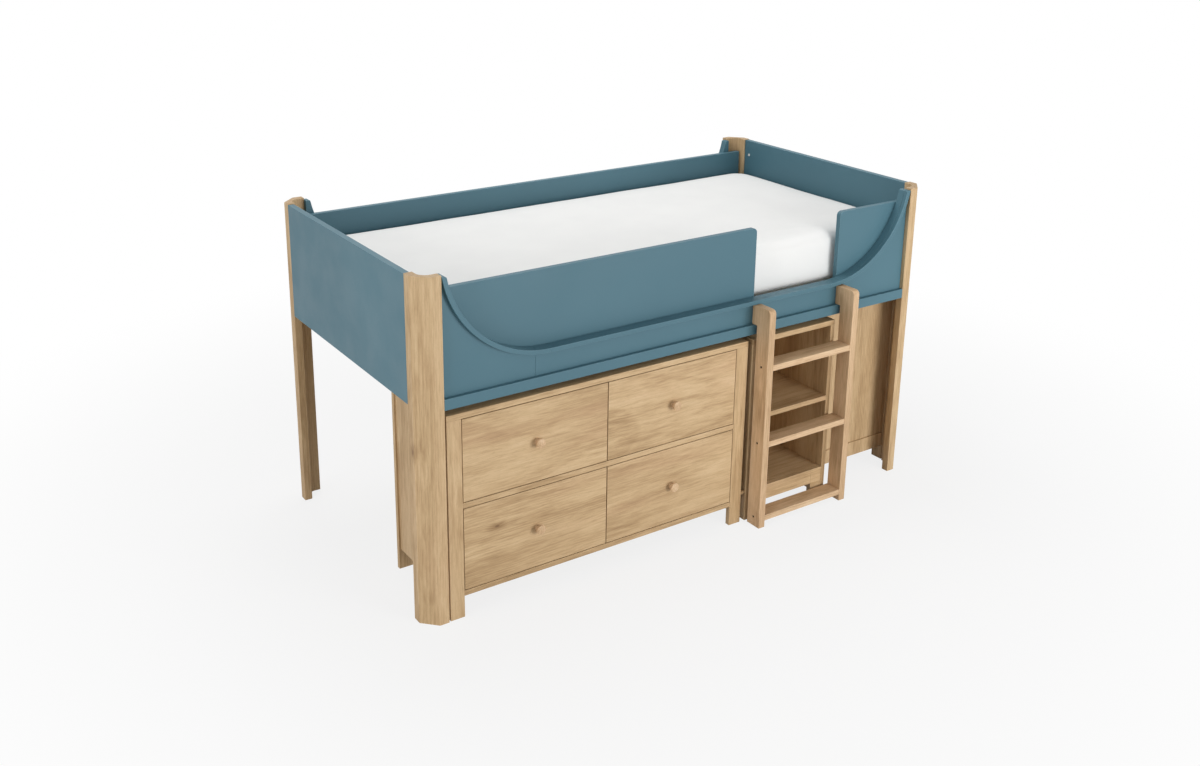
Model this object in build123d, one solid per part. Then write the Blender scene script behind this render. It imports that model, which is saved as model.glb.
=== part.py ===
from build123d import *

import os
from math import asin, cos, sin

# Low loft bed with a chest of drawers, a bookcase and an end shelf unit under it.
# Lengths are millimetres. The origin is on the floor, in the middle of the whole
# footprint with the ladder. X runs along the bed, to the ladder's side, Y runs
# from the front to the back, and Z is up.

# General
arris = 1.5                  # rounding of the board edges
arris_share = 0.3            # the most that a rounding takes of a thin board
overrun = 5.0                # how far a cut runs past the surface
rest_gap = 0.3               # clearance under a soft or loose piece

# Bed frame
bed_length = 2060.0
bed_depth = 1054.0
post_height = 1121.0
post_arm = 80.0
post_thickness = 27.0
post_chamfer = 47.0
post_inner_radius = 31.0

# Painted boards of the bed
panel_thickness = 22.0
panel_bottom = 716.0
panel_top_drop = 2.0
rail_face_setback = 15.0
rail_thickness = 27.0
rail_bottom = 706.0
rail_top = 827.0
rail_end_length = 320.0
horn_top = 1115.0
horn_tip_radius = 7.0
sweep_radius = 356.0
sweep_end = 446.0            # where the sweep meets the straight edge, from the bed's left face
lip_height = 15.0
ledge_height = 35.0
guard_thickness = 19.0
guard_bottom = 770.0
guard_top = 1068.0
guard_end_setback = 36.0
guard_corner_radius = 16.0
entry_end_setback = 383.0    # from the entry to the bed's right face
entry_width = 385.0
cap_radius = 5.5
cap_height = 2.0
cap_from_panel_end = 28.0
cap_from_panel_top = 60.0

# Slatted base and mattress
bearer_height = 30.0
bearer_width = 40.0
slat_count = 14
slat_width = 70.0
slat_thickness = 18.0
slat_end_gap = 1.0
first_slat_setback = 60.0
mattress_end_gap = 8.0       # between the mattress and each end panel
mattress_side_gap = 16.0     # between the mattress and the guards
mattress_thickness = 210.0
mattress_corner_radius = 60.0
mattress_edge_round = 34.0
mattress_draw_in = 3.0       # how far the sides are pulled in at mid height
mattress_crown = 6.0         # how much the top rises above its edge
mattress_crown_inset = 150.0
mattress_edge_shares = (0.0, 0.3, 1.0)

# Ladder
ladder_width = 414.0
ladder_stile_thickness = 27.0
ladder_stile_depth = 63.0
ladder_to_ledge = 10.0
ladder_under_lip = 1.0       # clearance between the ladder's head and the rail's lip
ladder_head_radius = 16.0
tread_thickness = 21.0
tread_tops = {"bottom": 45.0, "middle": 328.0, "top": 611.0}
tread_setback = 1.0
screw_radius = 2.5
screw_length = 55.0
screw_head_radius = 4.4
screw_head_height = 3.5
screw_recess = 5.0
screw_clearance = 0.1

# Storage units under the bed
unit_height = 686.0
unit_depth = 375.0
unit_board = 19.0
unit_front_setback = 2.0
stile_width = 50.0
rear_leg_thickness = 15.0
side_inset = 1.0
side_rail_thickness = 17.0
side_panel_recess = 5.0
plinth_bottom = 58.0
plinth_top = 114.0
back_thickness = 6.0

# Chest of drawers
chest_start = 85.0           # left face of the chest, from the bed's left face
chest_side_recess = 6.0
chest_bottom_rail = (73.0, 91.0)
chest_mid_rail = (371.5, 390.0)
divider_thickness = 16.0
front_side_gap = 2.0
front_height_gap = 2.5
front_centre_gap = 3.0
drawer_depth = 335.0
drawer_box_height = 180.0
drawer_board = 12.0
drawer_bottom_thickness = 5.0
drawer_bottom_rise = 8.0
drawer_box_rise = 18.0       # underside of the box above the front's lower edge
drawer_stile_gap = 4.0
drawer_divider_gap = 3.0
runner_height = 15.0
knob_projection = 26.0
knob_head_radius = 15.5
knob_neck_radius = 7.5
knob_foot_radius = 10.0
knob_foot_height = 3.0
knob_head_start = 11.0
knob_dome = 4.0
knob_screw_radius = 2.0
knob_screw_depth = 16.0
knob_screw_head_radius = 4.5
knob_screw_head_height = 2.5
knob_hole_clearance = 0.5

# Bookcase behind the ladder
bookcase_gap = 20.0          # between the chest and the bookcase
bookcase_end_gap = 37.0      # between the bookcase and the end shelf unit
bookcase_width = 382.0
bookcase_side = 18.0
bookcase_front_step = 1.0    # the bookcase's front lies this much before the chest's
middle_shelf_top = 398.0
shelf_thickness = 18.0
peg_radius = 7.5
peg_height = 110.0

# End shelf unit
end_unit_setback = 4.0       # behind the outer face of the right-hand posts
end_unit_post_gap = 7.0

# Places that follow from the sizes
ladder_reach = ladder_stile_depth + ladder_to_ledge
left = -bed_length / 2
right = bed_length / 2
front = (ladder_reach - bed_depth) / 2
back = front + bed_depth
middle = (front + back) / 2
panel_span = (front + post_arm, back - post_arm)
rail_face = front + rail_face_setback
rail_back = rail_face + rail_thickness
guard_back_face = rail_back + guard_thickness
ledge_top = rail_bottom + ledge_height
rail_left = left + post_arm
rail_right = right - post_arm
guard_left = left + guard_end_setback
guard_right = right - guard_end_setback
bearer_bottom = guard_bottom - bearer_height
slat_top = guard_bottom + slat_thickness
entry_right = right - entry_end_setback
entry_left = entry_right - entry_width
mattress_length = bed_length - 2 * (panel_thickness + mattress_end_gap)
mattress_width = bed_depth - 2 * (guard_back_face - front + mattress_side_gap)
ladder_left = entry_left - ladder_stile_thickness
ladder_right = ladder_left + ladder_width
ladder_height = rail_top - lip_height - ladder_under_lip
ladder_front = front - ladder_reach
ladder_back = front - ladder_to_ledge
end_unit_front = right - end_unit_setback
bookcase_left = end_unit_front - unit_depth - bookcase_end_gap - bookcase_width
chest_left = left + chest_start
chest_right = bookcase_left - bookcase_gap
chest_width = chest_right - chest_left
chest_front = front + unit_front_setback
bookcase_front = chest_front - bookcase_front_step
end_unit_span = (panel_span[0] + end_unit_post_gap, panel_span[1] - end_unit_post_gap)
end_unit_width = end_unit_span[1] - end_unit_span[0]
carcass_height = unit_height - unit_board

lengthwise = Plane.YZ
widthwise = Plane((0, middle, 0), z_dir=(0, 1, 0))

nodes = {}


def board(x, y, z, rounding=arris):
    """A straight board that fills three (low, high) spans, its edges softly rounded."""
    size = [high - low for low, high in (x, y, z)]
    centre = [(low + high) / 2 for low, high in (x, y, z)]
    shape = Pos(*centre) * Box(*size)
    return fillet(shape.edges(), min(rounding, min(size) * arris_share))


def area(x, z):
    """A rectangle in an outline, between two places along the bed and two heights."""
    return Pos((x[0] + x[1]) / 2, (z[0] + z[1]) / 2) * Rectangle(x[1] - x[0], z[1] - z[0])


def upright(sketch, y):
    """A board cut to an outline drawn in X and Z, between two depths."""
    plane = Plane((0, y[1], 0), x_dir=(1, 0, 0), z_dir=(0, -1, 0))
    shape = extrude(plane * sketch, amount=y[1] - y[0])
    return fillet(shape.edges(), arris)


def rod(radius, x, y, z):
    """A round rod along X, between the two ends of the span x."""
    return Pos((x[0] + x[1]) / 2, y, z) * Rot(0, 90, 0) * Cylinder(radius, x[1] - x[0])


def flipped(shape):
    """The same piece at the other end of the bed."""
    return mirror(shape, about=lengthwise)


def behind(shape):
    """The same piece on the far side of the bed."""
    return mirror(shape, about=widthwise)


def group(shapes):
    return Compound(children=list(shapes))


# Bed frame


def post():
    """The front left corner post: two arms, a flat outer corner and a hollow inner one."""
    outline = Polyline(
        (post_chamfer, 0),
        (post_arm, 0),
        (post_arm, post_thickness),
        (post_thickness, post_thickness),
        (post_thickness, post_arm),
        (0, post_arm),
        (0, post_chamfer),
        close=True,
    )
    section = make_face(outline)
    hollow = (post_thickness, post_thickness)
    by_distance = section.vertices().sort_by_distance(hollow)
    section = fillet(by_distance[1:], arris)
    section = fillet(section.vertices().sort_by_distance(hollow)[0], post_inner_radius)
    shape = Pos(left, front, 0) * extrude(section, amount=post_height)
    return chamfer(shape.faces().sort_by(Axis.Z)[-1].edges(), arris * arris_share)


def end_panel():
    return board((left, left + panel_thickness), panel_span, (panel_bottom, post_height - panel_top_drop))


def rail_outline(inset):
    """The rail's outline, straight in the middle and swept up to a horn at each end."""
    centre = left + sweep_end
    sweep = Pos(centre, rail_top + sweep_radius) * Circle(sweep_radius + inset)
    hollow = sweep + flipped(sweep) + area((centre, -centre), (rail_top - inset, horn_top + overrun))
    return area((rail_left, rail_right), (rail_bottom, horn_top)) - hollow


def rounded_horns(outline):
    """The outline with the tips of both horns rounded on the side away from the posts."""
    tips = outline.vertices().sort_by(Axis.Y)[-4:]
    return fillet(tips.sort_by(Axis.X)[1:3], horn_tip_radius)


def rail_board(x):
    """The part of the front rail between two places along the bed."""
    outline = rounded_horns(rail_outline(0)) & area(x, (rail_bottom, horn_top))
    return upright(outline, (rail_face, rail_back))


def rail_end():
    return rail_board((rail_left, rail_left + rail_end_length))


def rail_middle():
    return rail_board((rail_left + rail_end_length, rail_right - rail_end_length))


def rail_lip():
    """A raised strip along the rail's upper edge: a swept length at each end and a straight one."""
    outline = rounded_horns(rail_outline(0) - rail_outline(lip_height))
    sweep_right = left + sweep_end
    sweep = upright(outline & area((rail_left, sweep_right), (rail_bottom, horn_top)), (front, rail_face))
    strip = board((sweep_right, -sweep_right), (front, rail_face), (rail_top - lip_height, rail_top))
    return group([sweep, flipped(sweep), strip])


def ledge():
    return board((rail_left, rail_right), (front, rail_face), (rail_bottom, ledge_top))


def guard(x, rounded_corner):
    """A guard board behind the rail, with its upper corner at the entry rounded."""
    sketch = area(x, (guard_bottom, guard_top))
    if rounded_corner is not None:
        corner = sketch.vertices().sort_by_distance((rounded_corner, guard_top))[0]
        sketch = fillet(corner, guard_corner_radius)
    return upright(sketch, (rail_back, guard_back_face))


def bolt_caps():
    """Domed caps on the inner faces of the end panels, over the upper bolts to the back posts."""
    inner_face = left + panel_thickness
    y = panel_span[1] - cap_from_panel_end
    z = post_height - panel_top_drop - cap_from_panel_top
    cap = rod(cap_radius, (inner_face, inner_face + cap_height), y, z)
    rim = cap.faces().sort_by(Axis.X)[-1].edges()
    cap = fillet(rim, cap_height * arris_share * 2)
    return group([cap, flipped(cap)])


def bearers():
    y = (rail_back, rail_back + bearer_width)
    shape = board((guard_left, guard_right), y, (bearer_bottom, guard_bottom))
    return group([shape, behind(shape)])


def slats():
    y = (guard_back_face + slat_end_gap, back - (guard_back_face - front) - slat_end_gap)
    first = left + first_slat_setback
    last = right - first_slat_setback - slat_width
    pitch = (last - first) / (slat_count - 1)
    shapes = []
    for index in range(slat_count):
        start = first + index * pitch
        shapes.append(board((start, start + slat_width), y, (guard_bottom, slat_top)))
    return group(shapes)


def mattress():
    """A mattress with soft edges, sides drawn in at mid height and a low crown."""
    bottom = slat_top + rest_gap
    top = bottom + mattress_thickness
    shoulder = top - mattress_crown
    half_height = (bottom + shoulder) / 2
    levels = []
    for share in mattress_edge_shares:
        inset = mattress_edge_round * (1 - (2 * share - share * share) ** 0.5)
        levels.append((bottom + mattress_edge_round * share, inset))
    levels.append((half_height, mattress_draw_in))
    for share in reversed(mattress_edge_shares):
        inset = mattress_edge_round * (1 - (2 * share - share * share) ** 0.5)
        levels.append((shoulder - mattress_edge_round * share, inset))
    levels.append((top, mattress_crown_inset))
    sections = []
    for height, inset in levels:
        section = RectangleRounded(
            mattress_length - 2 * inset,
            mattress_width - 2 * inset,
            mattress_corner_radius,
        )
        sections.append(Pos(0, middle, height) * section)
    return loft(sections, ruled=True)


# Ladder


def screw_heights():
    return [top - tread_thickness / 2 for top in tread_tops.values()]


def ladder_middle_y():
    return (ladder_front + ladder_back) / 2


def ladder_stile():
    """The left stile: its head reaches back between the ledge, which carries it, and the lip."""
    head_back = rail_face - rest_gap
    outline = Polyline(
        (ladder_front, 0),
        (ladder_back, 0),
        (ladder_back, ledge_top),
        (head_back, ledge_top),
        (head_back, ladder_height),
        (ladder_front, ladder_height),
        close=True,
    )
    face = make_face(outline)
    corner = face.vertices().sort_by_distance((ladder_front, ladder_height))[0]
    face = fillet(corner, ladder_head_radius)
    plane = Plane((ladder_left, 0, 0), x_dir=(0, 1, 0), z_dir=(1, 0, 0))
    shape = extrude(plane * face, amount=ladder_stile_thickness)
    shape = fillet(shape.edges(), arris)
    inner_face = ladder_left + ladder_stile_thickness
    for z in screw_heights():
        hole_radius = screw_radius + screw_clearance
        shape -= rod(hole_radius, (ladder_left - overrun, inner_face + overrun), ladder_middle_y(), z)
        recess = (ladder_left - overrun, ladder_left + screw_recess)
        shape -= rod(screw_head_radius + screw_clearance, recess, ladder_middle_y(), z)
    return shape


def ladder_tread(top):
    x = (ladder_left + ladder_stile_thickness, ladder_right - ladder_stile_thickness)
    y = (ladder_front + tread_setback, ladder_back - tread_setback)
    shape = board(x, y, (top - tread_thickness, top))
    tip = ladder_left + screw_recess + screw_length
    hole = rod(screw_radius + screw_clearance, (x[0] - overrun, tip), ladder_middle_y(), top - tread_thickness / 2)
    return shape - hole - across_ladder(hole)


def across_ladder(shape):
    """The same piece at the other stile of the ladder."""
    return mirror(shape, about=Plane.YZ.offset((ladder_left + ladder_right) / 2))


def ladder_screws():
    head_start = ladder_left + screw_recess - screw_head_height
    head_end = ladder_left + screw_recess
    shapes = []
    for z in screw_heights():
        screw = rod(screw_head_radius, (head_start, head_end), ladder_middle_y(), z)
        screw += rod(screw_radius, (head_end, head_end + screw_length), ladder_middle_y(), z)
        shapes += [screw, across_ladder(screw)]
    return group(shapes)


# Storage units, each built with its front left floor corner at the origin


def across_unit(shape, width):
    return mirror(shape, about=Plane.YZ.offset(width / 2))


def unit_top(width):
    return board((0, width), (0, unit_depth), (carcass_height, unit_height))


def unit_stile():
    return board((0, stile_width), (0, unit_board), (0, carcass_height))


def unit_rear_leg():
    return board((0, stile_width), (unit_depth - rear_leg_thickness, unit_depth), (0, carcass_height))


def framed_side():
    """A side with a low rail and a panel above it, set back from the rail's face."""
    y = (unit_board, unit_depth - rear_leg_thickness)
    inner = side_inset + side_rail_thickness
    rail = board((side_inset, inner), y, (plinth_bottom, plinth_top))
    panel = board((side_inset + side_panel_recess, inner), y, (plinth_top, carcass_height))
    return group([rail, panel])


def unit_back(width, bottom):
    inner = side_inset + side_rail_thickness
    y_end = unit_depth - rear_leg_thickness
    return board((inner, width - inner), (y_end - back_thickness, y_end), (bottom, carcass_height))


# Chest of drawers


def chest_side():
    """One panel between the front stile and the rear leg, set back from their outer faces."""
    x = (chest_side_recess, side_inset + side_rail_thickness)
    y = (unit_board, unit_depth - rear_leg_thickness)
    return board(x, y, (chest_bottom_rail[0], carcass_height))


def front_rail(z):
    return board((stile_width, chest_width - stile_width), (0, unit_board), z)


def divider():
    half = divider_thickness / 2
    x = (chest_width / 2 - half, chest_width / 2 + half)
    y = (unit_board, unit_depth - rear_leg_thickness - back_thickness)
    return board(x, y, (chest_bottom_rail[1], carcass_height))


drawer_front_x = (stile_width + front_side_gap, (chest_width - front_centre_gap) / 2)
drawer_box_x = (
    stile_width + drawer_stile_gap,
    (chest_width - divider_thickness) / 2 - drawer_divider_gap,
)
drawer_levels = {
    "upper": (chest_mid_rail[1] + front_height_gap, carcass_height - front_height_gap),
    "lower": (chest_bottom_rail[1] + front_height_gap, chest_mid_rail[0] - front_height_gap),
}


def runners():
    """Two battens under each drawer: one from the side panel, one from the divider."""
    y = (unit_board, unit_depth - rear_leg_thickness - back_thickness)
    outer_x = (side_inset + side_rail_thickness, drawer_box_x[0] + drawer_board)
    inner_x = (drawer_box_x[1] - drawer_board, (chest_width - divider_thickness) / 2)
    shapes = []
    for low, high in drawer_levels.values():
        top = low + drawer_box_rise - rest_gap
        for x in (outer_x, inner_x):
            runner = board(x, y, (top - runner_height, top))
            shapes += [runner, across_unit(runner, chest_width)]
    return group(shapes)


def drawer_front(level):
    """An inset front, drilled for the knob's screw."""
    shape = board(drawer_front_x, (0, unit_board), drawer_levels[level])
    hole = knob_place(level) * Cylinder(knob_screw_radius + knob_hole_clearance, unit_board * 2 + overrun)
    return shape - hole


def drawer_box(level):
    """Two sides, a back and a bottom, behind the front."""
    low = drawer_levels[level][0] + drawer_box_rise
    z = (low, low + drawer_box_height)
    y = (unit_board, unit_board + drawer_depth)
    x_inner = (drawer_box_x[0] + drawer_board, drawer_box_x[1] - drawer_board)
    bottom_z = (low + drawer_bottom_rise, low + drawer_bottom_rise + drawer_bottom_thickness)
    sides = [board((drawer_box_x[0], x_inner[0]), y, z), board((x_inner[1], drawer_box_x[1]), y, z)]
    rear = board(x_inner, (y[1] - drawer_board, y[1]), z)
    base = board(x_inner, (y[0], y[1] - drawer_board), bottom_z)
    return group(sides + [rear, base])


def knob_place(level):
    """Where the knob's axis meets the front face, with local Z pointing at the user."""
    low, high = drawer_levels[level]
    x = (drawer_front_x[0] + drawer_front_x[1]) / 2
    return Pos(x, 0, (low + high) / 2) * Rot(90, 0, 0)


def knob(level):
    """A turned knob and the screw that holds it through the drawer front."""
    head_side = knob_projection - knob_dome
    profile = Polyline(
        (0, knob_projection),
        (0, 0),
        (knob_foot_radius, 0),
        (knob_foot_radius, knob_foot_height),
        (knob_neck_radius, knob_foot_height),
        (knob_neck_radius, knob_head_start),
        (knob_head_radius, knob_head_start + knob_dome),
        (knob_head_radius, head_side),
    )
    dome_radius = (knob_head_radius**2 + knob_dome**2) / (2 * knob_dome)
    half_turn = asin(knob_head_radius / dome_radius) / 2
    dome_middle = (dome_radius * sin(half_turn), knob_projection - dome_radius * (1 - cos(half_turn)))
    dome = ThreePointArc((knob_head_radius, head_side), dome_middle, (0, knob_projection))
    turned = revolve(Plane.XZ * make_face([profile.wire(), dome]), Axis.Z)
    turned -= Pos(0, 0, knob_screw_depth / 2) * Cylinder(knob_screw_radius + screw_clearance, knob_screw_depth)
    screw_span = knob_screw_depth + unit_board
    screw = Pos(0, 0, (knob_screw_depth - unit_board) / 2) * Cylinder(knob_screw_radius, screw_span)
    head_centre = -unit_board - knob_screw_head_height / 2
    screw += Pos(0, 0, head_centre) * Cylinder(knob_screw_head_radius, knob_screw_head_height)
    return group([knob_place(level) * turned, knob_place(level) * screw])


# Bookcase


def bookcase_side_board():
    return board((0, bookcase_side), (0, unit_depth), (0, carcass_height))


def bookcase_shelves():
    x = (bookcase_side, bookcase_width - bookcase_side)
    y_end = unit_depth - back_thickness
    middle_shelf = board(x, (0, y_end), (middle_shelf_top - shelf_thickness, middle_shelf_top))
    bottom_shelf = board(x, (unit_board, y_end), (plinth_top - shelf_thickness, plinth_top))
    return group([middle_shelf, bottom_shelf])


def bookcase_plinth():
    """A front rail between two short feet, under the bottom shelf."""
    foot_end = bookcase_side + stile_width
    foot = board((bookcase_side, foot_end), (0, unit_board), (0, plinth_top))
    rail = board((foot_end, bookcase_width - foot_end), (0, unit_board), (plinth_bottom, plinth_top))
    return group([foot, across_unit(foot, bookcase_width), rail])


def bookcase_back():
    x = (bookcase_side, bookcase_width - bookcase_side)
    return board(x, (unit_depth - back_thickness, unit_depth), (plinth_bottom, carcass_height))


def cabinet_peg():
    """A round peg that keeps the chest and the bookcase at a steady distance."""
    return rod(peg_radius, (chest_right, bookcase_left), chest_front + unit_board / 2, peg_height)


# End shelf unit


def end_unit_front_frame():
    """Two front stiles with a rail between them at the foot."""
    stile = unit_stile()
    x = (stile_width, end_unit_width - stile_width)
    rail = board(x, (0, unit_board), (plinth_bottom, plinth_top))
    return group([stile, across_unit(stile, end_unit_width), rail])


def end_unit_shelves():
    inner = side_inset + side_rail_thickness
    x = (inner, end_unit_width - inner)
    y = (unit_board, unit_depth - rear_leg_thickness - back_thickness - rest_gap)
    heights = (middle_shelf_top, plinth_top)
    return group(board(x, y, (top - shelf_thickness, top)) for top in heights)


def end_unit_sides():
    side = framed_side()
    leg = unit_rear_leg()
    pieces = side.solids() + leg.solids()
    return group([*pieces, *(across_unit(piece, end_unit_width) for piece in pieces)])


# All nodes, in their places on the bed


def add_bed():
    corner = post()
    nodes["post_front_left"] = corner
    nodes["post_front_right"] = flipped(corner)
    nodes["post_back_left"] = behind(corner)
    nodes["post_back_right"] = behind(flipped(corner))
    nodes["end_panel_left"] = end_panel()
    nodes["end_panel_right"] = flipped(end_panel())
    nodes["front_rail_left_end"] = rail_end()
    nodes["front_rail_middle"] = rail_middle()
    nodes["front_rail_right_end"] = flipped(rail_end())
    nodes["back_rail_left_end"] = behind(rail_end())
    nodes["back_rail_middle"] = behind(rail_middle())
    nodes["back_rail_right_end"] = behind(flipped(rail_end()))
    nodes["front_rail_lip"] = rail_lip()
    nodes["front_ledge"] = ledge()
    nodes["guard_front_long"] = guard((guard_left, entry_left), entry_left)
    nodes["guard_front_short"] = guard((entry_right, guard_right), entry_right)
    nodes["guard_back"] = behind(guard((guard_left, guard_right), None))
    nodes["bolt_caps"] = bolt_caps()
    nodes["side_bearers"] = bearers()
    nodes["mattress_slats"] = slats()
    nodes["mattress"] = mattress()


def add_ladder():
    nodes["ladder_stile_left"] = ladder_stile()
    nodes["ladder_stile_right"] = across_ladder(ladder_stile())
    for name, top in tread_tops.items():
        nodes[f"ladder_tread_{name}"] = ladder_tread(top)
    nodes["ladder_screws"] = ladder_screws()


def add_chest():
    place = Pos(chest_left, chest_front, 0)
    nodes["chest_top"] = place * unit_top(chest_width)
    nodes["chest_stile_left"] = place * unit_stile()
    nodes["chest_stile_right"] = place * across_unit(unit_stile(), chest_width)
    nodes["chest_sides"] = place * group([chest_side(), across_unit(chest_side(), chest_width)])
    nodes["chest_rear_legs"] = place * group([unit_rear_leg(), across_unit(unit_rear_leg(), chest_width)])
    nodes["chest_front_rails"] = place * group([front_rail(chest_mid_rail), front_rail(chest_bottom_rail)])
    nodes["chest_back"] = place * unit_back(chest_width, chest_bottom_rail[0])
    nodes["chest_divider"] = place * divider()
    nodes["drawer_runners"] = place * runners()
    for level in drawer_levels:
        pieces = {"front": drawer_front(level), "box": drawer_box(level), "knob": knob(level)}
        for name, piece in pieces.items():
            nodes[f"drawer_{level}_left_{name}"] = place * piece
            nodes[f"drawer_{level}_right_{name}"] = place * across_unit(piece, chest_width)


def add_bookcase():
    place = Pos(bookcase_left, bookcase_front, 0)
    nodes["bookcase_side_left"] = place * bookcase_side_board()
    nodes["bookcase_side_right"] = place * across_unit(bookcase_side_board(), bookcase_width)
    nodes["bookcase_top"] = place * unit_top(bookcase_width)
    nodes["bookcase_shelves"] = place * bookcase_shelves()
    nodes["bookcase_plinth"] = place * bookcase_plinth()
    nodes["bookcase_back"] = place * bookcase_back()
    nodes["cabinet_peg"] = cabinet_peg()


def add_end_unit():
    place = Pos(end_unit_front, end_unit_span[0], 0) * Rot(0, 0, 90)
    nodes["end_unit_sides"] = place * end_unit_sides()
    nodes["end_unit_front"] = place * end_unit_front_frame()
    nodes["end_unit_top"] = place * unit_top(end_unit_width)
    nodes["end_unit_shelves"] = place * end_unit_shelves()
    nodes["end_unit_back"] = place * unit_back(end_unit_width, plinth_bottom)


add_bed()
add_ladder()
add_chest()
add_bookcase()
add_end_unit()

os.makedirs("parts", exist_ok=True)
for node, shape in nodes.items():
    export_step(shape, f"parts/{node}.step")
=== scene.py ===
import math

import bmesh
import bpy
from mathutils import Matrix, Vector, noise


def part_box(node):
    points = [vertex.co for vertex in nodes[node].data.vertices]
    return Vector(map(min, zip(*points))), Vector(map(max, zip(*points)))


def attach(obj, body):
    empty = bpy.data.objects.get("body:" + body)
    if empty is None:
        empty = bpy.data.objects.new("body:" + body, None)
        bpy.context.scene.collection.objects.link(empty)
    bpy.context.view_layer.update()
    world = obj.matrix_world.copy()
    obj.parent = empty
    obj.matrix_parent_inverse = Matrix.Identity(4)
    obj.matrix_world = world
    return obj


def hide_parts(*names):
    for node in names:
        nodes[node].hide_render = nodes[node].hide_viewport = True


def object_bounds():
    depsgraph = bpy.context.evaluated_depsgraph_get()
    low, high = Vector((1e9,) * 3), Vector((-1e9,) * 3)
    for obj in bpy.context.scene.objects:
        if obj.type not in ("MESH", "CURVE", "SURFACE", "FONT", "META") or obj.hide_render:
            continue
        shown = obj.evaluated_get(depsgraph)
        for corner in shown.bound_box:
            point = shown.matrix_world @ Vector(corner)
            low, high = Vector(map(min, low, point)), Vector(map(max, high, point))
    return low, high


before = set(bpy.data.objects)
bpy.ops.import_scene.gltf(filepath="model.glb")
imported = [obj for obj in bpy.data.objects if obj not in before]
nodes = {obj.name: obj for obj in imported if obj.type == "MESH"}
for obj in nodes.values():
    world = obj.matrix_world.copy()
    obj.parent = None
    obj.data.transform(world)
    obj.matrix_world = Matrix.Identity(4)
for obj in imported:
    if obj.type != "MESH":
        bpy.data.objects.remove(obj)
cad_low, cad_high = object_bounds()
axes = "XYZ"

# Camera: the frame in pixels, the place in metres and the angles in degrees
image_width = 1200
image_height = 766
focal_pixels = 1260.107
principal_point = (559.504, 247.665)
camera_place = Vector((-2.4968, -3.509, 2.2249))
camera_yaw = 32.758
camera_pitch = 16.809
camera_roll = -0.226
sensor_width = 36.0

# Curve from display colours to linear ones
full_channel = 255
curve_knee = 0.04045
curve_slope = 12.92
curve_lift = 0.055
curve_power = 2.4

# Colours, red, green and blue from 0 to 255, and for wood from dark to light
oak_colours = ((150, 120, 84), (179, 149, 110), (199, 170, 130), (214, 188, 149))
rosy_colours = ((156, 122, 88), (188, 156, 119), (209, 177, 140), (226, 199, 163))
pale_colours = ((180, 150, 112), (200, 173, 136), (214, 190, 154), (227, 206, 173))
wood_pink = (205, 166, 132)
wood_knot = (112, 80, 54)
teal_base = (79, 116, 129)
teal_deep = (74, 110, 123)
# Lighter teal painted on the arrises, partly rubbed wear and partly a painted highlight
teal_wear_and_highlight = (124, 159, 169)
fabric_white = (239, 239, 237)
# A greyer white, used for the uneven patches and as painted shade in the hollows between the loops
fabric_grey_and_hollow_shade = (229, 229, 228)
cap_white = (228, 228, 224)
cap_cream = (216, 214, 206)
bronze = (92, 78, 64)
bronze_dark = (52, 44, 37)
floor_grey = (205, 205, 205)

# Noise that is given no detail or roughness of its own
usual_detail = 3.0
usual_roughness = 0.5

# Streaks of the wood figure: width in metres, length against width, and detail of the noise
figure_streaks = {
    "wave": (0.06, 3.0, 2.0),
    "broad": (0.09, 8.0, 2.0),
    "streak": (0.012, 9.0, 4.0),
    "patch": (0.16, 2.0, 2.0),
    "fibre": (0.0028, 20.0, 3.0),
    "pore": (0.0009, 18.0, 1.0),
}
streak_roughness = 0.55
wave_depth = 0.012
patch_span = (0.35, 0.65, 0.25, 1.0)
pore_span = (0.4, 0.3)

# How far each board's figure lies from the next board's (metres)
seed_step_across = 1.9
seed_step_along = 3.7

# Knots (metres, and shares of the knot's size or of its cell)
knot_cell = 0.42
knot_cell_length_share = 2.4
knot_size = 0.005
knot_reach = 0.02
knot_core_share = 0.3
knot_halo_share = 0.4
knot_bend_share = 1.6
knot_chance_span = (0.5, 0.52)

# Growth rings (metres): their spacing, and the pith's depth behind the board with its drift and lean
ring_spacing = 0.0085
ring_drift = 0.05
drift_waves = (5.0, 1.3)
slow_detail = 2.0
late_rise_shares = (0.35, 0.9)
late_fall_shares = (1.0, 0.93)
pith_depth = 0.09
pith_side = 0.06
pith_lean = 0.02
pith_near_share = 0.6
pith_turns = (5.1, 2.3, 3.3)

# Weight of each part of the wood figure in its shade, from 0 to 1
middle_shade = 0.5
broad_weight = 0.9
streak_weight = 0.9
fibre_weight = 0.6
late_weight = 0.1
halo_weight = 0.3
pale_figure = 0.7
shade_shares = (0.08, 0.34, 0.56, 0.9)

# Tints of the wood: the share of each that is mixed in, and where
warm_waves = (7.0, 1.1)
pink_span = (0.5, 0.8, 0.0, 0.35)
knot_tint_share = 0.8
pore_tint_share = 0.3
# Share of the lightest wood colour painted on the edges, partly rubbed wear and partly a painted highlight
wood_wear_and_highlight_share = 0.38
end_tint_share = 0.35
end_span = (0.7, 0.95)

# Wood surface (metres, and shares)
# Width of the edges painted lighter, as wear and as a painted highlight
wood_wear_and_highlight_edge = 0.0028
fibre_rise_share = 0.6
pore_fall_share = 0.7
wood_relief = 0.00025
wood_relief_share = 0.6
wood_roughness_span = (0.1, 0.9, 0.56, 0.44)
wood_shine = 0.32

# Rubbed edges, painted lighter as wear and as a highlight: how far the rounded normal has turned from the
# true one (cosines)
edge_samples = 4
edge_span = (0.995, 0.9)

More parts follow.
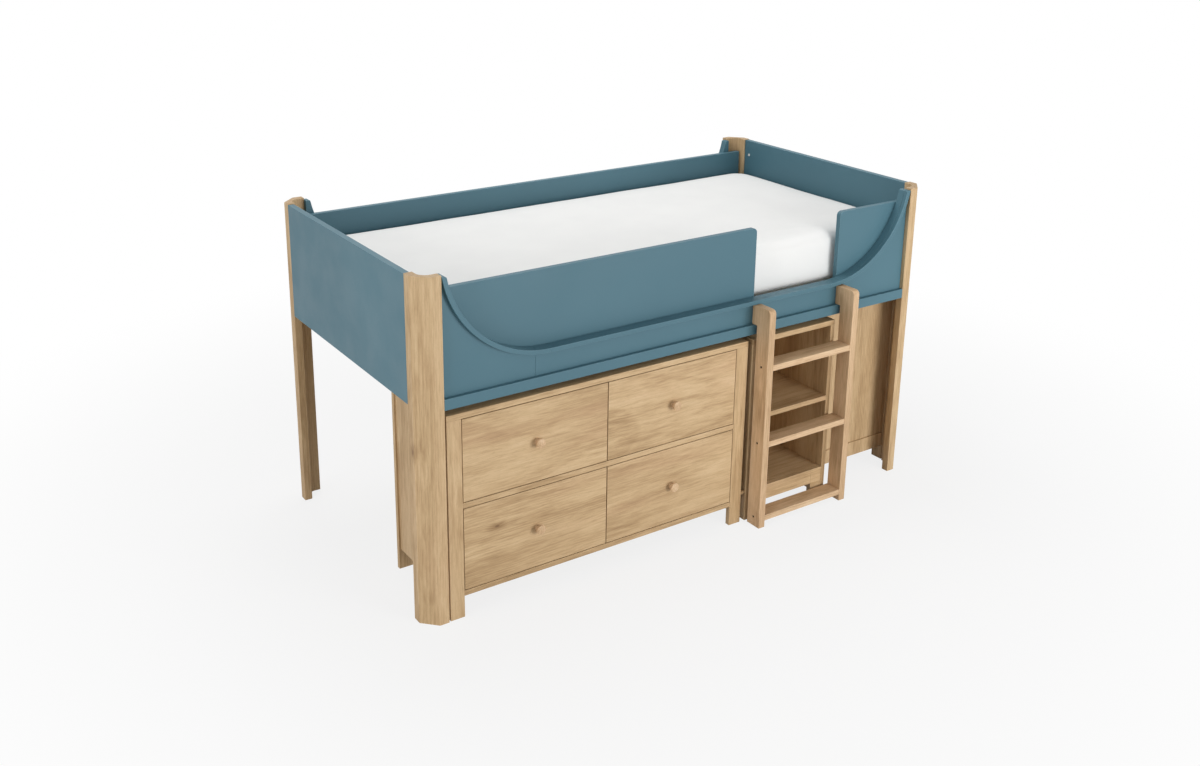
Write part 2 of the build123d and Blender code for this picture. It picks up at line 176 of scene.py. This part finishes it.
# Paint (metres, and waves in a metre)
# Width and share of the arrises painted lighter, as wear and as a painted highlight
paint_wear_and_highlight_edge = 0.0022
paint_wear_and_highlight_share = 0.5
paint_cloud_waves = 1.0
paint_peel_waves = 420.0
paint_peel_detail = 2.0
paint_smear_waves = 9.0
paint_smear_detail = 4.0
paint_relief = 0.00012
paint_relief_share = 0.5
paint_roughness_span = (0.3, 0.7, 0.4, 0.5)
paint_shine = 0.3

# Spans in which a cloud turns from one colour to another
cloud_span = (0.35, 0.65)

# Knitted cover (metres, and waves in a metre)
weave_pitch = 0.0026
weave_slant = 0.7
weave_relief = 0.0004
weave_relief_share = 0.5
weave_loop_share = 0.5
cover_cloud_waves = 6.0
cover_cloud_detail = 4.0
cover_cloud_span = (0.3, 0.7, 0.0, 0.3)
# The hollows between the loops are painted darker, as painted shade
loop_hollow_shade_span = (0.2, -0.9, 0.0, 0.25)
cover_roughness_span = (-1.0, 1.0, 0.95, 0.85)
cover_shine = 0.2
cover_sheen = 0.25
cover_sheen_roughness = 0.5

# Cover caps and screws (metres, and waves in a metre)
cap_waves = 160.0
cap_relief = 0.00006
cap_relief_share = 0.4
cap_roughness_span = (0.3, 0.7, 0.3, 0.42)
cap_shine = 0.5
steel_waves = 900.0
steel_relief = 0.00005
steel_relief_share = 0.5
steel_roughness_span = (0.3, 0.7, 0.35, 0.5)
steel_metal = 0.9

# Mattress (metres), with how far past the solid its cover may reach at the ends, sides and top
mattress_reach = (0.004, 0.01, 0.0)
mattress_inset = 0.002
mattress_voxel = 0.02
mattress_swell = 0.008
mattress_clearance = 0.0005
mattress_ripple = 0.0016
ripple_spacing = 0.24
weld_distance = 0.0001
cloth_pressure = 4.0
cloth_frames = 20
cloth_quality = 5
cloth_stiffness = 25
cloth_bending = 8

# Screw heads (metres, degrees, and shares of the head's width or radius)
screw_rim = 0.0006
screw_segments = 40
screw_depth_share = 0.8
cross_width_share = 0.2
cross_length_share = 0.62
cross_depth = 0.0012
cross_angles = (45, 135)
screws_a_side = 3

# Studio (metres, and light power in watts)
floor_half = 40.0
floor_cells = 8
floor_roughness = 0.9
floor_shine = 0.1
shadow_reach = (1.1, 3.1)
white_share_near = 0.82
key_place = (1.4, -4.6, 1.15)
key_size = 1.9
key_power = 117.0
fill_place = (-5.0, -1.2, 1.4)
fill_size = 2.4
fill_power = 78.0
top_place = (0.1, 1.3, 4.6)
top_size = 2.2
top_power = 89.0
world_light = 0.47
plain_white = (1.0, 1.0, 1.0, 1.0)

# Grain direction of the oak pieces that don't stand upright; the rest have upright grain
oak_grain = {
    "X": [
        "ladder_tread_bottom", "ladder_tread_middle", "ladder_tread_top",
        "chest_top", "chest_front_rails", "bookcase_top", "bookcase_shelves", "bookcase_plinth",
        "drawer_upper_left_front", "drawer_upper_right_front",
        "drawer_lower_left_front", "drawer_lower_right_front",
    ],
    "Y": [
        "end_unit_top", "end_unit_shelves",
        "drawer_upper_left_knob", "drawer_upper_right_knob",
        "drawer_lower_left_knob", "drawer_lower_right_knob",
    ],
}
pale_grain = {"X": ["side_bearers"], "Y": ["mattress_slats", "drawer_runners"]}


def straightened(channel):
    """One display channel, from 0 to 1, as the linear value that it stands for."""
    if channel <= curve_knee:
        return channel / curve_slope
    return ((channel + curve_lift) / (1 + curve_lift)) ** curve_power


def linear(colour):
    """A colour from 0 to 255 as the linear colour with alpha that a shader takes."""
    return [straightened(channel / full_channel) for channel in colour] + [1.0]


class Finish:
    """A material whose nodes are added by plain calls, most of which give an output socket."""

    def __init__(self, name):
        self.material = bpy.data.materials.new(name)
        self.material.use_nodes = True
        self.tree = self.material.node_tree
        self.shader = self.tree.nodes["Principled BSDF"]
        self.place = self.add("ShaderNodeTexCoord").outputs["Object"]

    def feed(self, socket, value):
        """Links a socket into another, or sets a constant on it."""
        if isinstance(value, bpy.types.NodeSocket):
            self.tree.links.new(value, socket)
        else:
            socket.default_value = value

    def add(self, kind, *values, **settings):
        """A node of a kind with its settings, whose first sockets take the values in turn."""
        node = self.tree.nodes.new(kind)
        for key, value in settings.items():
            setattr(node, key, value)
        for socket, value in zip(node.inputs, values):
            self.feed(socket, value)
        return node

    def sum(self, operation, first, second=0.0, third=0.0, clamp=False):
        node = self.add("ShaderNodeMath", first, second, third, operation=operation, use_clamp=clamp)
        return node.outputs[0]

    def product(self, first, second):
        return self.sum("MULTIPLY", first, second)

    def parts(self, vector):
        return self.add("ShaderNodeSeparateXYZ", vector).outputs

    def join(self, x, y, z):
        return self.add("ShaderNodeCombineXYZ", x, y, z).outputs[0]

    def noise(self, vector, detail=usual_detail, roughness=usual_roughness):
        node = self.add("ShaderNodeTexNoise")
        self.feed(node.inputs["Vector"], vector)
        self.feed(node.inputs["Scale"], 1.0)
        self.feed(node.inputs["Detail"], detail)
        self.feed(node.inputs["Roughness"], roughness)
        return node.outputs[0]

    def cloud(self, waves, detail=usual_detail):
        """Soft noise over the whole piece, with so many waves in a metre."""
        scaled = self.add("ShaderNodeVectorMath", self.place, operation="SCALE")
        self.feed(scaled.inputs["Scale"], waves)
        return self.noise(scaled.outputs[0], detail)

    def span(self, value, low, high, to_low=0.0, to_high=1.0):
        """A value spread smoothly from one range to another, and held at its ends."""
        node = self.add("ShaderNodeMapRange", value, low, high, to_low, to_high,
                        interpolation_type="SMOOTHSTEP")
        return node.outputs[0]

    def ramp(self, value, stops):
        node = self.add("ShaderNodeValToRGB", value)
        band = node.color_ramp
        while len(band.elements) < len(stops):
            band.elements.new(1.0)
        for element, (place, colour) in zip(band.elements, stops):
            element.position = place
            element.color = linear(colour)
        return node.outputs[0]

    def blend(self, share, first, second):
        """A mix of two colours, from the first at a share of nothing to the second at one."""
        node = self.add("ShaderNodeMix", data_type="RGBA")
        self.feed(node.inputs[0], share)
        self.feed(node.inputs[6], first)
        self.feed(node.inputs[7], second)
        return node.outputs[2]

    def edges(self, width):
        """How near the surface is to a sharp edge, from 0 to 1."""
        rounded = self.add("ShaderNodeBevel", width, samples=edge_samples).outputs[0]
        true = self.add("ShaderNodeNewGeometry").outputs["Normal"]
        match = self.add("ShaderNodeVectorMath", rounded, true, operation="DOT_PRODUCT")
        return self.span(match.outputs["Value"], *edge_span)

    def bump(self, height, distance, strength):
        node = self.add("ShaderNodeBump")
        self.feed(node.inputs["Height"], height)
        self.feed(node.inputs["Distance"], distance)
        self.feed(node.inputs["Strength"], strength)
        self.feed(self.shader.inputs["Normal"], node.outputs[0])

    def set(self, **values):
        """Feeds the shader's sockets by name and gives the finished material."""
        for key, value in values.items():
            self.feed(self.shader.inputs[key.replace("_", " ")], value)
        return self.material


def board_directions(low, high, grain):
    """The axes of a board: across its grain on its wide face, through its thickness, and along."""
    size = high - low
    others = sorted((a for a in range(3) if axes[a] != grain), key=lambda a: size[a])
    return others[1], others[0], axes.index(grain)


class Board(Finish):
    """Lacquered wood cut from a solid log whose length lies along the board's grain."""

    def __init__(self, name, node, grain, seed):
        super().__init__(name)
        low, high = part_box(node)
        middle = (low + high) / 2
        across, thin, along = board_directions(low, high, grain)
        place = self.parts(self.place)
        self.seed = seed
        self.along_axis = along
        self.across = self.sum("SUBTRACT", place[across], middle[across])
        self.thin = self.sum("SUBTRACT", place[thin], middle[thin])
        self.along = self.sum("ADD", place[along], seed * seed_step_along)
        self.shifted = self.sum("ADD", self.across, seed * seed_step_across)

    def streaks(self, kind, across, thin):
        """Noise drawn out along the grain, in one kind of the table of streaks."""
        width, stretch, detail = figure_streaks[kind]
        place = self.join(
            self.sum("DIVIDE", across, width),
            self.sum("DIVIDE", thin, width),
            self.sum("DIVIDE", self.along, width * stretch),
        )
        return self.noise(place, detail, streak_roughness)

    def slow_noise(self, across, waves):
        """Noise with few waves, so many a metre across the board and along it."""
        place = self.join(self.product(across, waves[0]), self.seed, self.product(self.along, waves[1]))
        return self.noise(place, slow_detail)

    def knots(self):
        """The dark core of each knot, and the wider halo in which it bends the grain."""
        cell = self.join(
            self.sum("DIVIDE", self.shifted, knot_cell),
            self.sum("DIVIDE", self.along, knot_cell * knot_cell_length_share),
            0.0,
        )
        spots = self.add("ShaderNodeTexVoronoi", voronoi_dimensions="2D")
        self.feed(spots.inputs["Vector"], cell)
        self.feed(spots.inputs["Scale"], 1.0)
        kept = self.span(self.parts(spots.outputs["Color"])[0], *knot_chance_span)
        distance = self.product(spots.outputs["Distance"], knot_cell)
        core = self.span(distance, knot_size, knot_size * knot_core_share)
        halo = self.span(distance, knot_reach, knot_size * knot_halo_share)
        return self.product(core, kept), self.product(halo, kept)

    def bent_grain(self, halo):
        """The place across the board, bent by slow waves and round the knots."""
        wave = self.streaks("wave", self.shifted, self.seed)
        wavy = self.sum("MULTIPLY_ADD", wave, wave_depth, self.across)
        return self.sum("MULTIPLY_ADD", halo, knot_size * knot_bend_share, wavy)

    def late_wood(self, bent):
        """The darker late wood in each growth ring, from 0 to 1."""
        side_turn, depth_turn, lean_turn = (self.seed * turn for turn in pith_turns)
        depth_share = pith_near_share + (1 - pith_near_share) * math.cos(depth_turn)
        drift = self.slow_noise(bent, drift_waves)
        drift = self.sum("MULTIPLY_ADD", drift, ring_drift, -ring_drift / 2)
        side = self.sum("ADD", self.sum("ADD", bent, drift), math.sin(side_turn) * pith_side)
        behind = self.sum("ADD", self.thin, pith_depth * depth_share)
        behind = self.sum("MULTIPLY_ADD", self.along, pith_lean * math.sin(lean_turn), behind)
        squares = self.sum("ADD", self.sum("POWER", side, 2.0), self.sum("POWER", behind, 2.0))
        ring = self.sum("FRACT", self.sum("DIVIDE", self.sum("SQRT", squares), ring_spacing))
        return self.product(self.span(ring, *late_rise_shares), self.span(ring, *late_fall_shares))

    def shade(self, bent, halo, fibres, depth):
        """How light the wood is, from 0 to 1, with its figure as deep as is asked."""
        broad = self.streaks("broad", bent, self.thin)
        streaks = self.sum("SUBTRACT", self.streaks("streak", bent, self.thin), middle_shade)
        patches = self.span(self.streaks("patch", bent, self.thin), *patch_span)
        late = self.late_wood(bent)
        shade = middle_shade * (1 - broad_weight * depth)
        shade = self.sum("MULTIPLY_ADD", broad, broad_weight * depth, shade)
        shade = self.sum("MULTIPLY_ADD", self.product(streaks, patches), streak_weight * depth, shade)
        fine = self.sum("SUBTRACT", fibres, middle_shade)
        shade = self.sum("MULTIPLY_ADD", fine, fibre_weight * depth, shade)
        shade = self.sum("MULTIPLY_ADD", late, -late_weight * depth, shade)
        return self.sum("MULTIPLY_ADD", halo, -halo_weight, shade, clamp=True)

    def tint(self, colour, share, other):
        return self.blend(share, colour, linear(other))

    def end_grain(self, end_share):
        """The share of end grain at a face, up to the one given where the face is square to it."""
        normal = self.add("ShaderNodeNewGeometry").outputs["True Normal"]
        facing = self.sum("ABSOLUTE", self.parts(normal)[self.along_axis])
        return self.span(facing, *end_span, 0.0, end_share)


def wood(name, node, grain, seed, colours, depth=1.0, end_share=end_tint_share):
    """The finish of one board: its figure, tints, edges painted lighter as rubbed wear and as a painted
    highlight, and open grain.
    """
    dark, light = colours[0], colours[-1]
    board = Board(name, node, grain, seed)
    core, halo = board.knots()
    bent = board.bent_grain(halo)
    fibres = board.streaks("fibre", bent, board.thin)
    pores = board.span(board.streaks("pore", bent, board.thin), *pore_span)
    shade = board.shade(bent, halo, fibres, depth)

    colour = board.ramp(shade, list(zip(shade_shares, colours)))
    warmth = board.slow_noise(bent, warm_waves)
    colour = board.tint(colour, board.span(warmth, *pink_span), wood_pink)
    colour = board.tint(colour, board.product(core, knot_tint_share), wood_knot)
    colour = board.tint(colour, board.product(pores, pore_tint_share), dark)
    colour = board.tint(colour, board.end_grain(end_share), dark)
    # Edges painted lighter: partly rubbed wear, partly a painted highlight where the arris catches light
    colour = board.tint(colour, board.product(board.edges(wood_wear_and_highlight_edge), wood_wear_and_highlight_share), light)

    rises = board.product(fibres, fibre_rise_share)
    falls = board.product(pores, pore_fall_share)
    board.bump(board.sum("SUBTRACT", rises, falls), wood_relief, wood_relief_share)
    roughness = board.span(shade, *wood_roughness_span)
    return board.set(Base_Color=colour, Roughness=roughness, Specular_IOR_Level=wood_shine)


def teal_paint():
    """Satin lacquer sprayed on board, with a faint orange peel and arrises painted lighter, partly as
    rubbed wear and partly as a painted highlight.
    """
    finish = Finish("teal_paint")
    cloud = finish.span(finish.cloud(paint_cloud_waves), *cloud_span)
    colour = finish.blend(cloud, linear(teal_deep), linear(teal_base))
    # Arrises painted lighter: partly rubbed wear, partly a painted highlight
    wear_and_highlight = finish.product(finish.edges(paint_wear_and_highlight_edge), paint_wear_and_highlight_share)
    colour = finish.blend(wear_and_highlight, colour, linear(teal_wear_and_highlight))
    smears = finish.cloud(paint_smear_waves, paint_smear_detail)
    roughness = finish.span(smears, *paint_roughness_span)
    finish.bump(finish.cloud(paint_peel_waves, paint_peel_detail), paint_relief, paint_relief_share)
    return finish.set(Base_Color=colour, Roughness=roughness, Specular_IOR_Level=paint_shine)


def mattress_fabric():
    """White knitted cover: rows of small loops with painted shade in the hollows between them, a soft sheen
    and a slightly uneven white.
    """
    finish = Finish("mattress_fabric")
    place = finish.parts(finish.place)
    turn = math.tau / weave_pitch
    flat = finish.sum("ADD", place[1], place[2])
    courses = finish.sum("SINE", finish.product(flat, turn))
    wales = finish.sum("MULTIPLY_ADD", courses, weave_slant, finish.product(place[0], turn))
    loops = finish.product(courses, finish.sum("SINE", wales))
    cloud = finish.cloud(cover_cloud_waves, cover_cloud_detail)
    colour = finish.blend(finish.span(cloud, *cover_cloud_span), linear(fabric_white), linear(fabric_grey_and_hollow_shade))
    # Painted shade: the hollows between the loops are darkened
    colour = finish.blend(finish.span(loops, *loop_hollow_shade_span), colour, linear(fabric_grey_and_hollow_shade))
    height = finish.sum("MULTIPLY_ADD", loops, weave_loop_share, cloud)
    finish.bump(height, weave_relief, weave_relief_share)
    finish.set(Base_Color=colour, Roughness=finish.span(loops, *cover_roughness_span))
    finish.set(Sheen_Weight=cover_sheen, Sheen_Roughness=cover_sheen_roughness)
    return finish.set(Specular_IOR_Level=cover_shine)


def clouded(name, waves, colours, relief, roughness_span):
    """A hard surface whose colour, relief and gloss follow one fine cloud."""
    finish = Finish(name)
    cloud = finish.cloud(waves)
    first, second = colours
    colour = finish.blend(finish.span(cloud, *cloud_span), linear(first), linear(second))
    finish.bump(cloud, *relief)
    finish.set(Base_Color=colour, Roughness=finish.span(cloud, *roughness_span))
    return finish


def white_plastic():
    """Moulded cover caps, a little creamier in patches."""
    relief = (cap_relief, cap_relief_share)
    finish = clouded("white_plastic", cap_waves, (cap_white, cap_cream), relief, cap_roughness_span)
    return finish.set(Specular_IOR_Level=cap_shine)


def bronzed_steel():
    """Dark bronzed screws, a little brighter in patches."""
    relief = (steel_relief, steel_relief_share)
    finish = clouded("screw_steel", steel_waves, (bronze_dark, bronze), relief, steel_roughness_span)
    return finish.set(Metallic=steel_metal)


def grain_of(name, table, usual):
    for direction, members in table.items():
        if name in members:
            return direction
    return usual


def oak_board(name, seed):
    """Oak of one node: rosy for the ladder and knobs, whose turned knobs show no end grain."""
    turned = name.endswith("_knob")
    rosy = turned or name.startswith("ladder")
    colours = rosy_colours if rosy else oak_colours
    end_share = 0.0 if turned else end_tint_share
    return wood("oak_" + name, name, grain_of(name, oak_grain, "Z"), seed, colours, end_share=end_share)


def pale_board(name, seed):
    """The lighter, plainer wood of hidden boards."""
    direction = grain_of(name, pale_grain, "Z" if "back" in name else "X")
    return wood("pale_" + name, name, direction, seed, pale_colours, pale_figure)


def dress_frame():
    """Gives each carried node the finish of its slot, with a figure of its own for each board."""
    plain = {
        "teal_paint": teal_paint(),
        "white_plastic": white_plastic(),
        "mattress_fabric": mattress_fabric(),
        "screw_steel": bronzed_steel(),
    }
    for number, name in enumerate(sorted(nodes)):
        for slot in nodes[name].material_slots:
            kind = slot.material.name.split(".")[0]
            if kind in plain:
                slot.material = plain[kind]
            elif kind == "oak":
                slot.material = oak_board(name, number)
            else:
                slot.material = pale_board(name, number)
    return plain


def link(name, data):
    piece = bpy.data.objects.new(name, data)
    bpy.context.scene.collection.objects.link(piece)
    return piece


def link_shape(name, shape):
    """An object of a finished bmesh, which is freed."""
    mesh = bpy.data.meshes.new(name)
    shape.to_mesh(mesh)
    shape.free()
    return link(name, mesh)


def swap_mesh(piece):
    """Puts the result of a piece's modifiers in place of its mesh."""
    graph = bpy.context.evaluated_depsgraph_get()
    made = bpy.data.meshes.new_from_object(piece.evaluated_get(graph))
    piece.modifiers.clear()
    piece.data = made


def wear(piece, finish):
    """Makes a finish the only material of a piece."""
    piece.data.materials.clear()
    piece.data.materials.append(finish)


def start_mattress(low, high):
    """The mattress solid, fitted a little inside the cover's bounds and remeshed in even steps."""
    solid_low, solid_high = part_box("mattress")
    middle = (solid_low + solid_high) / 2
    solid_size = solid_high - solid_low
    scale = [(length - 2 * mattress_inset) / plain for length, plain in zip(high - low, solid_size)]
    shape = bmesh.new()
    shape.from_mesh(nodes["mattress"].data)
    bmesh.ops.remove_doubles(shape, verts=shape.verts, dist=weld_distance)
    for vertex in shape.verts:
        vertex.co = middle + Vector(s * o for s, o in zip(scale, vertex.co - middle))
    piece = link_shape("padded_mattress", shape)
    remesh = piece.modifiers.new("remesh", "REMESH")
    remesh.mode = "VOXEL"
    remesh.voxel_size = mattress_voxel
    swap_mesh(piece)
    return piece


def swell(piece):
    """Blows the cover up by pressure, and lets no point move further than the named swell."""
    start = [v.co.copy() for v in piece.data.vertices]
    cloth = piece.modifiers.new("cloth", "CLOTH")
    cloth.settings.quality = cloth_quality
    cloth.settings.use_pressure = True
    cloth.settings.uniform_pressure_force = cloth_pressure
    cloth.settings.tension_stiffness = cloth_stiffness
    cloth.settings.compression_stiffness = cloth_stiffness
    cloth.settings.bending_stiffness = cloth_bending
    cloth.settings.effector_weights.gravity = 0
    cloth.point_cache.frame_start = 1
    cloth.point_cache.frame_end = cloth_frames
    scene = bpy.context.scene
    for step in range(1, cloth_frames + 1):
        scene.frame_set(step)
    swap_mesh(piece)
    scene.frame_set(1)
    for vertex, place in zip(piece.data.vertices, start):
        move = vertex.co - place
        if move.length > mattress_swell:
            vertex.co = place + move.normalized() * mattress_swell


def settle(piece, low, high):
    """Lays faint ripples over the cover and keeps the whole within its bounds."""
    for vertex in piece.data.vertices:
        wave = noise.noise(Vector((vertex.co.x, vertex.co.y, 0.0)) / ripple_spacing)
        above = (vertex.co.z - low.z) / (high.z - low.z)
        vertex.co.z += wave * mattress_ripple * above
        for axis in range(3):
            least = low[axis] + mattress_clearance
            most = high[axis] - mattress_clearance
            vertex.co[axis] = min(max(vertex.co[axis], least), most)


def smooth_over(piece):
    """One subdivision, with smooth shading."""
    smooth = piece.modifiers.new("subdivision", "SUBSURF")
    smooth.levels = 1
    smooth.render_levels = 1
    swap_mesh(piece)
    for face in piece.data.polygons:
        face.use_smooth = True


def mattress(finish):
    """The mattress, whose soft cover is kept within bounds a little wider than the solid."""
    solid_low, solid_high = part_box("mattress")
    reach = Vector(mattress_reach)
    low, high = solid_low - reach, solid_high + reach
    piece = start_mattress(low, high)
    swell(piece)
    settle(piece, low, high)
    smooth_over(piece)
    wear(piece, finish)
    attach(piece, "mattress")
    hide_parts("mattress")


def screw_places():
    """The screw heads' radius, and each outer face's middle with the way that it faces along X."""
    low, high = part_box("ladder_screws")
    radius = (high.y - low.y) / 2
    first, last = low.z + radius, high.z - radius
    places = []
    for step in range(screws_a_side):
        height = first + (last - first) * step / (screws_a_side - 1)
        for x, facing in ((low.x, -1), (high.x, 1)):
            places.append((Vector((x, low.y + radius, height)), facing))
    return radius, places


def add_head(heads, turn, radius):
    """A short cylinder whose outer rim is drawn in, with its outer face at the turned origin."""
    depth = radius * screw_depth_share
    middle = turn @ Matrix.Translation((0, 0, -depth / 2))
    bmesh.ops.create_cone(heads, cap_ends=True, segments=screw_segments, radius1=radius,
                          radius2=radius - screw_rim, depth=depth, matrix=middle)


def add_cross(crosses, turn, radius):
    """Two crossed bars, half sunk into the head's outer face."""
    width = radius * 2
    bar_size = (width * cross_length_share, width * cross_width_share, cross_depth * 2, 1)
    for angle in cross_angles:
        bar = turn @ Matrix.Rotation(math.radians(angle), 4, "Z") @ Matrix.Diagonal(bar_size)
        bmesh.ops.create_cube(crosses, size=1.0, matrix=bar)


def carve(piece, cutter):
    """Cuts one object out of another and removes the cutter."""
    cut = piece.modifiers.new("cross", "BOOLEAN")
    cut.operation = "DIFFERENCE"
    cut.object = cutter
    cut.use_self = True
    swap_mesh(piece)
    bpy.data.objects.remove(cutter)


def screw_heads(finish):
    """Screw heads with a softened rim and a cross sunk into the face."""
    radius, places = screw_places()
    heads = bmesh.new()
    crosses = bmesh.new()
    for place, facing in places:
        turn = Matrix.Translation(place) @ Matrix.Rotation(math.radians(90 * facing), 4, "Y")
        add_head(heads, turn, radius)
        add_cross(crosses, turn, radius)
    head = link_shape("ladder_screw_heads", heads)
    carve(head, link_shape("screw_crosses", crosses))
    wear(head, finish)
    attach(head, "ladder")
    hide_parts("ladder_screws")


def camera():
    """A camera at its place and angles, shifted so that the principal point is where it is named."""
    yaw, pitch, roll = (math.radians(a) for a in (camera_yaw, camera_pitch, camera_roll))
    ahead = Vector((math.sin(yaw) * math.cos(pitch), math.cos(yaw) * math.cos(pitch), -math.sin(pitch)))
    level = Vector((math.cos(yaw), -math.sin(yaw), 0.0))
    down = ahead.cross(level)
    right = level * math.cos(roll) + down * math.sin(roll)
    below = down * math.cos(roll) - level * math.sin(roll)
    turn = Matrix((right, -below, -ahead)).transposed().to_4x4()
    lens = bpy.data.cameras.new("camera")
    lens.sensor_width = sensor_width
    lens.lens = focal_pixels / image_width * sensor_width
    lens.shift_x = (image_width / 2 - principal_point[0]) / image_width
    lens.shift_y = (principal_point[1] - image_height / 2) / image_width
    stand = link("camera", lens)
    stand.matrix_world = Matrix.Translation(camera_place) @ turn
    bpy.context.scene.camera = stand


def soft_light(name, place, size, power):
    lamp = bpy.data.lights.new(name, "AREA")
    lamp.shape = "SQUARE"
    lamp.size = size
    lamp.energy = power
    stand = link(name, lamp)
    stand.location = place
    aim = Vector((0.0, 0.0, cad_high.z / 2)) - Vector(place)
    stand.rotation_euler = aim.to_track_quat("-Z", "Y").to_euler()


def seen_directly(tree):
    """One for rays from the camera and for those that gloss or glass sends on, else nothing."""
    path = tree.nodes.new("ShaderNodeLightPath")
    seen = path.outputs["Is Camera Ray"]
    for kind in ("Is Glossy Ray", "Is Transmission Ray"):
        either = tree.nodes.new("ShaderNodeMath")
        either.operation = "MAXIMUM"
        tree.links.new(seen, either.inputs[0])
        tree.links.new(path.outputs[kind], either.inputs[1])
        seen = either.outputs[0]
    return seen


def background(tree, strength):
    node = tree.nodes.new("ShaderNodeBackground")
    node.inputs["Color"].default_value = plain_white
    node.inputs["Strength"].default_value = strength
    return node.outputs[0]


def studio_world():
    """A white background where it is seen, and a dimmer even light everywhere else."""
    world = bpy.data.worlds.new("studio")
    bpy.context.scene.world = world
    world.use_nodes = True
    tree = world.node_tree
    tree.nodes.remove(tree.nodes["Background"])
    mix = tree.nodes.new("ShaderNodeMixShader")
    tree.links.new(seen_directly(tree), mix.inputs[0])
    tree.links.new(background(tree, world_light), mix.inputs[1])
    tree.links.new(background(tree, 1.0), mix.inputs[2])
    tree.links.new(mix.outputs[0], tree.nodes["World Output"].inputs["Surface"])


def floor_finish():
    """Pale grey that turns to plain white further off, where it is seen."""
    finish = Finish("floor")
    finish.set(Base_Color=linear(floor_grey), Roughness=floor_roughness, Specular_IOR_Level=floor_shine)
    distance = finish.add("ShaderNodeVectorMath", finish.place, operation="LENGTH").outputs["Value"]
    far = finish.span(distance, *shadow_reach, white_share_near, 1.0)
    share = finish.product(far, seen_directly(finish.tree))
    white = finish.add("ShaderNodeEmission", plain_white, 1.0)
    mix = finish.add("ShaderNodeMixShader", share, finish.shader.outputs[0], white.outputs[0])
    finish.feed(finish.tree.nodes["Material Output"].inputs["Surface"], mix.outputs[0])
    return finish.material


def floor():
    """A pale floor that holds the shadow near the bed."""
    shape = bmesh.new()
    bmesh.ops.create_grid(shape, x_segments=floor_cells, y_segments=floor_cells, size=floor_half)
    piece = link_shape("floor", shape)
    piece.location.z = cad_low.z
    wear(piece, floor_finish())


finishes = dress_frame()
mattress(finishes["mattress_fabric"])
screw_heads(finishes["screw_steel"])
floor()
studio_world()
soft_light("key_light", key_place, key_size, key_power)
soft_light("fill_light", fill_place, fill_size, fill_power)
soft_light("top_light", top_place, top_size, top_power)
camera()
bpy.context.scene.view_settings.view_transform = "Standard"
